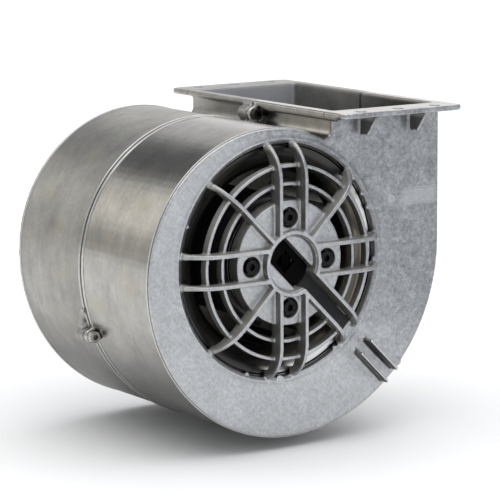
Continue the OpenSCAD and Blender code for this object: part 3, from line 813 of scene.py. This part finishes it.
def add_rail(bm, points, profile, side):
    """A rail along the wall. Its closed profile is (depth from the seam, height) in mm."""
    rows = []
    last = len(points) - 1
    for k, point in enumerate(points):
        along = (points[min(k + 1, last)] - points[max(k - 1, 0)]).normalized()
        out = Vector((along.y, -along.x))
        swell = 1 + 0.05 * math.sin(k * 0.31) + 0.05 * math.sin(k * 0.083 + 1)
        rise = min(1, k / RAIL_RAMP, (last - k) / RAIL_RAMP) * swell
        row = []
        for depth, height in profile:
            x, y = point + out * (height * rise if height > 0 else height)
            row.append(bm.verts.new(fan_point(x, y, side * depth)))
        rows.append(row)
    faces = [bm.faces.new(rows[0]), bm.faces.new(rows[-1])] + bridge(bm, rows)
    bmesh.ops.recalc_face_normals(bm, faces=faces)


def round_corners(middle, half, radius, steps=6):
    """Corners of a rounded rectangle."""
    corners = []
    for quarter, (sx, sy) in enumerate(((1, 1), (-1, 1), (-1, -1), (1, -1))):
        for step in range(steps + 1):
            a = math.radians(90 * (quarter + step / steps))
            corners.append(Vector((middle[0] + sx * (half[0] - radius) + radius * math.cos(a),
                                   middle[1] + sy * (half[1] - radius) + radius * math.sin(a))))
    return corners


def add_plate(bm, corners, side, height=0.45, slope=1.0, border=1.0):
    """A raised plate on the casing face with bevelled edges. Corners run round it in mm."""
    middle = sum(corners, Vector((0, 0))) / len(corners)
    rows = []
    for inset, z in ((0, -0.3), (0, 0.1), (slope, height), (slope + border, height)):
        row = []
        for corner in corners:
            x, y = corner + (middle - corner).normalized() * inset
            row.append(bm.verts.new(fan_point(x, y, side * (face_z + z))))
        rows.append(row)
    faces = [bm.faces.new(rows[-1])] + bridge(bm, rows)
    bmesh.ops.recalc_face_normals(bm, faces=faces)


# ---------- castings ----------

# voxel in mm, rounds of smoothing, share of the faces kept
SCROLL_MESH = (1.2, 3, 0.5)
GRILLE_MESH = (0.7, 4, 0.6)

FRONT_RAIL = rail_profile(0.5, 3.2, 0.55)
REAR_RAIL = rail_profile(1.1, 2.8, 1.0)
EDGE_RAIL = rail_profile(face_z - 3.6, face_z - 2.3, 0.5)
PLATE = round_corners(PLATE_MIDDLE, PLATE_HALF, 1)
DISC = round_corners(DISC_MIDDLE, (DISC_R, DISC_R), DISC_R - 0.1)
EJECTOR_MARK = round_corners((-1, -(RIM_R + 2.2)), (3.6, 3.6), 3.5)
PAD_AREA = ((94, 28), (142, 45))        # corners of the CAD's pad where the plates go

PAIR_SHIFT = 11.0                       # the paired ribs lie this far each side of their line
TROUGH_SHIFT = 8.0                      # and the lead channel's two ribs this far
PAIR_ROOTS = [(a, shift) for a in (0, 90, 180, 270) for shift in (-PAIR_SHIFT, PAIR_SHIFT)]
DIAGONAL_ROOTS = [(45, 0), (135, 0), (225, 0)]
FRONT_ROOTS = PAIR_ROOTS + DIAGONAL_ROOTS + [(-45, -TROUGH_SHIFT), (-45, TROUGH_SHIFT)]
REAR_ROOTS = PAIR_ROOTS + DIAGONAL_ROOTS + [(315, 0)]
FRONT_FLASH = (5.5, -5, 22, 30, 40, 158, 250, 262, 305)      # degrees about the fan axis
REAR_FLASH = (12, 70, 128, 205, 333)


def cast(name, sources, mesh_settings, extra=None, trim=None):
    """One casting grown from CAD nodes: joined, remeshed, smoothed and thinned out. Extra metal
    goes in before that, and trim works on the finished mesh."""
    voxel, rounds, share = mesh_settings
    bm = bmesh.new()
    for source in sources:
        bm.from_mesh(nodes[source].data)
    if extra:
        extra(bm)
    rough = bpy.data.meshes.new(name + "_rough")
    bm.to_mesh(rough)
    bm.free()
    piece = bpy.data.objects.new(name, rough)
    bpy.context.scene.collection.objects.link(piece)
    remesh = piece.modifiers.new("remesh", "REMESH")
    remesh.mode = "VOXEL"
    remesh.voxel_size = voxel * MM
    smooth = piece.modifiers.new("smooth", "SMOOTH")
    smooth.factor = 0.5
    smooth.iterations = rounds
    thin = piece.modifiers.new("thin", "DECIMATE")
    thin.ratio = share
    finished = bpy.data.meshes.new_from_object(
        piece.evaluated_get(bpy.context.evaluated_depsgraph_get()))
    piece.modifiers.clear()
    if trim:
        bm = bmesh.new()
        bm.from_mesh(finished)
        trim(bm)
        bm.to_mesh(finished)
        bm.free()
    piece.data = finished
    finished.shade_smooth()
    finished.materials.clear()
    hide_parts(*sources)
    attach(piece, "casing")
    return piece


def front_extra(bm):
    add_rim(bm, 1)
    add_rib_roots(bm, 1, FRONT_ROOTS)
    add_flash(bm, 1, FRONT_FLASH)


def rear_extra(bm):
    add_rim(bm, -1)
    add_rib_roots(bm, -1, REAR_ROOTS)
    add_flash(bm, -1, REAR_FLASH)


def front_trim(bm):
    outline = wall_outline("casing_front", OUTLINE_DEPTH)
    flatten_bead(bm, outline)
    add_rail(bm, outline, FRONT_RAIL, 1)
    add_rail(bm, outline, EDGE_RAIL, 1)
    flatten_pad(bm, *PAD_AREA)
    add_plate(bm, PLATE, 1)
    add_plate(bm, DISC, 1)
    add_plate(bm, EJECTOR_MARK, 1, 1.0, 0.6)


def rear_trim(bm):
    outline = wall_outline("casing_rear", -OUTLINE_DEPTH)
    flatten_bead(bm, outline)
    add_rail(bm, outline, REAR_RAIL, -1)
    add_rail(bm, outline, EDGE_RAIL, -1)


def make_castings(slots):
    ribbed = grille_aluminium("grille_aluminium")
    for half, wall_extra, grille_extra, trim in (("front", None, front_extra, front_trim),
                                                 ("rear", add_lug_web, rear_extra, rear_trim)):
        scroll = cast(half + "_scroll_casting", ["casing_" + half], SCROLL_MESH, wall_extra, trim)
        scroll.data.materials.append(slots["cast_aluminium"])
        grille = cast(half + "_grille_casting", ["grille_" + half, "grille_rings_" + half],
                      GRILLE_MESH, grille_extra)
        grille.data.materials.append(ribbed)


# ---------- floor and light ----------
# Azimuth 0 is in front of the fan, 90 to its right; elevation is above level. Both in degrees.

WORLD_BASE = (0.62, 0.64, 0.67)
# azimuth, elevation, angle where the card is full, angle where it ends, colour
WORLD_CARDS = [
    (0, 90, 35, 52, (1.9, 1.9, 1.9)),
    (150, 18, 8, 24, (0.95, 0.95, 0.96)),
    (145, 7, 4, 10, (1.3, 1.3, 1.3)),
    (222, -4, 10, 34, (0.36, 0.35, 0.33)),
    (205, 21, 8, 14, (1.15, 1.12, 1.05)),
    (170, 48, 6, 20, (0.75, 0.76, 0.78)),
    (181, 37, 8, 17, (0.055, 0.06, 0.068)),
]
FLOOR_HALF = 6.0


def direction(azimuth, elevation):
    """Unit vector in the model's frame."""
    a, e = math.radians(azimuth), math.radians(elevation)
    return Vector((math.sin(a) * math.cos(e), -math.cos(a) * math.cos(e), math.sin(e)))


def make_floor():
    mesh = bpy.data.meshes.new("floor")
    corners = [(sx * FLOOR_HALF, sy * FLOOR_HALF, floor_z)
               for sx, sy in ((-1, -1), (1, -1), (1, 1), (-1, 1))]
    mesh.from_pydata(corners, [], [(0, 1, 2, 3)])
    floor = bpy.data.objects.new("floor", mesh)
    bpy.context.scene.collection.objects.link(floor)
    s = Shader("floor_paper")
    s.set(Base_Color=(0.93, 0.93, 0.93), Roughness=0.9, Specular_IOR_Level=0.1)
    mesh.materials.append(s.material)


def area_light(name, away, azimuth, elevation, size, watts, colour):
    """A soft panel aimed at the fan."""
    data = bpy.data.lights.new(name, "AREA")
    data.shape = "RECTANGLE"
    data.size, data.size_y = size
    data.energy = watts
    data.color = colour
    lamp = bpy.data.objects.new(name, data)
    toward = direction(azimuth, elevation)
    lamp.location = fan_axis + toward * away
    lamp.rotation_mode = "QUATERNION"
    lamp.rotation_quaternion = toward.to_track_quat("Z", "Y")
    bpy.context.scene.collection.objects.link(lamp)


def make_world():
    """An even pale surround with soft-edged lighter and darker cards in it."""
    world = bpy.data.worlds.new("studio")
    world.use_nodes = True
    bpy.context.scene.world = world
    tree = world.node_tree
    link = tree.links.new
    toward = tree.nodes.new("ShaderNodeTexCoord").outputs["Generated"]
    colour = None
    for azimuth, elevation, inner, outer, tint in WORLD_CARDS:
        dot = tree.nodes.new("ShaderNodeVectorMath")
        dot.operation = "DOT_PRODUCT"
        link(toward, dot.inputs[0])
        dot.inputs[1].default_value = direction(azimuth, elevation)
        share = tree.nodes.new("ShaderNodeMapRange")
        share.interpolation_type = "SMOOTHSTEP"
        link(dot.outputs["Value"], share.inputs["Value"])
        share.inputs["From Min"].default_value = math.cos(math.radians(outer))
        share.inputs["From Max"].default_value = math.cos(math.radians(inner))
        mix = tree.nodes.new("ShaderNodeMix")
        mix.data_type = "RGBA"
        link(share.outputs[0], mix.inputs[0])
        if colour is None:
            mix.inputs[6].default_value = (*WORLD_BASE, 1)
        else:
            link(colour, mix.inputs[6])
        mix.inputs[7].default_value = (*tint, 1)
        colour = mix.outputs[2]
    link(colour, tree.nodes["Background"].inputs["Color"])


def make_lights():
    area_light("left_rear_panel", 1.8, 222, 4, (1.1, 1.3), 1.0, (1.0, 0.97, 0.92))
    area_light("front_panel", 1.1, 20, 12, (0.6, 0.6), 0.8, (0.95, 0.97, 1.0))
    bpy.context.scene.view_settings.view_transform = "Standard"


make_camera()
make_world()
make_lights()
make_floor()
make_castings(dress_nodes())
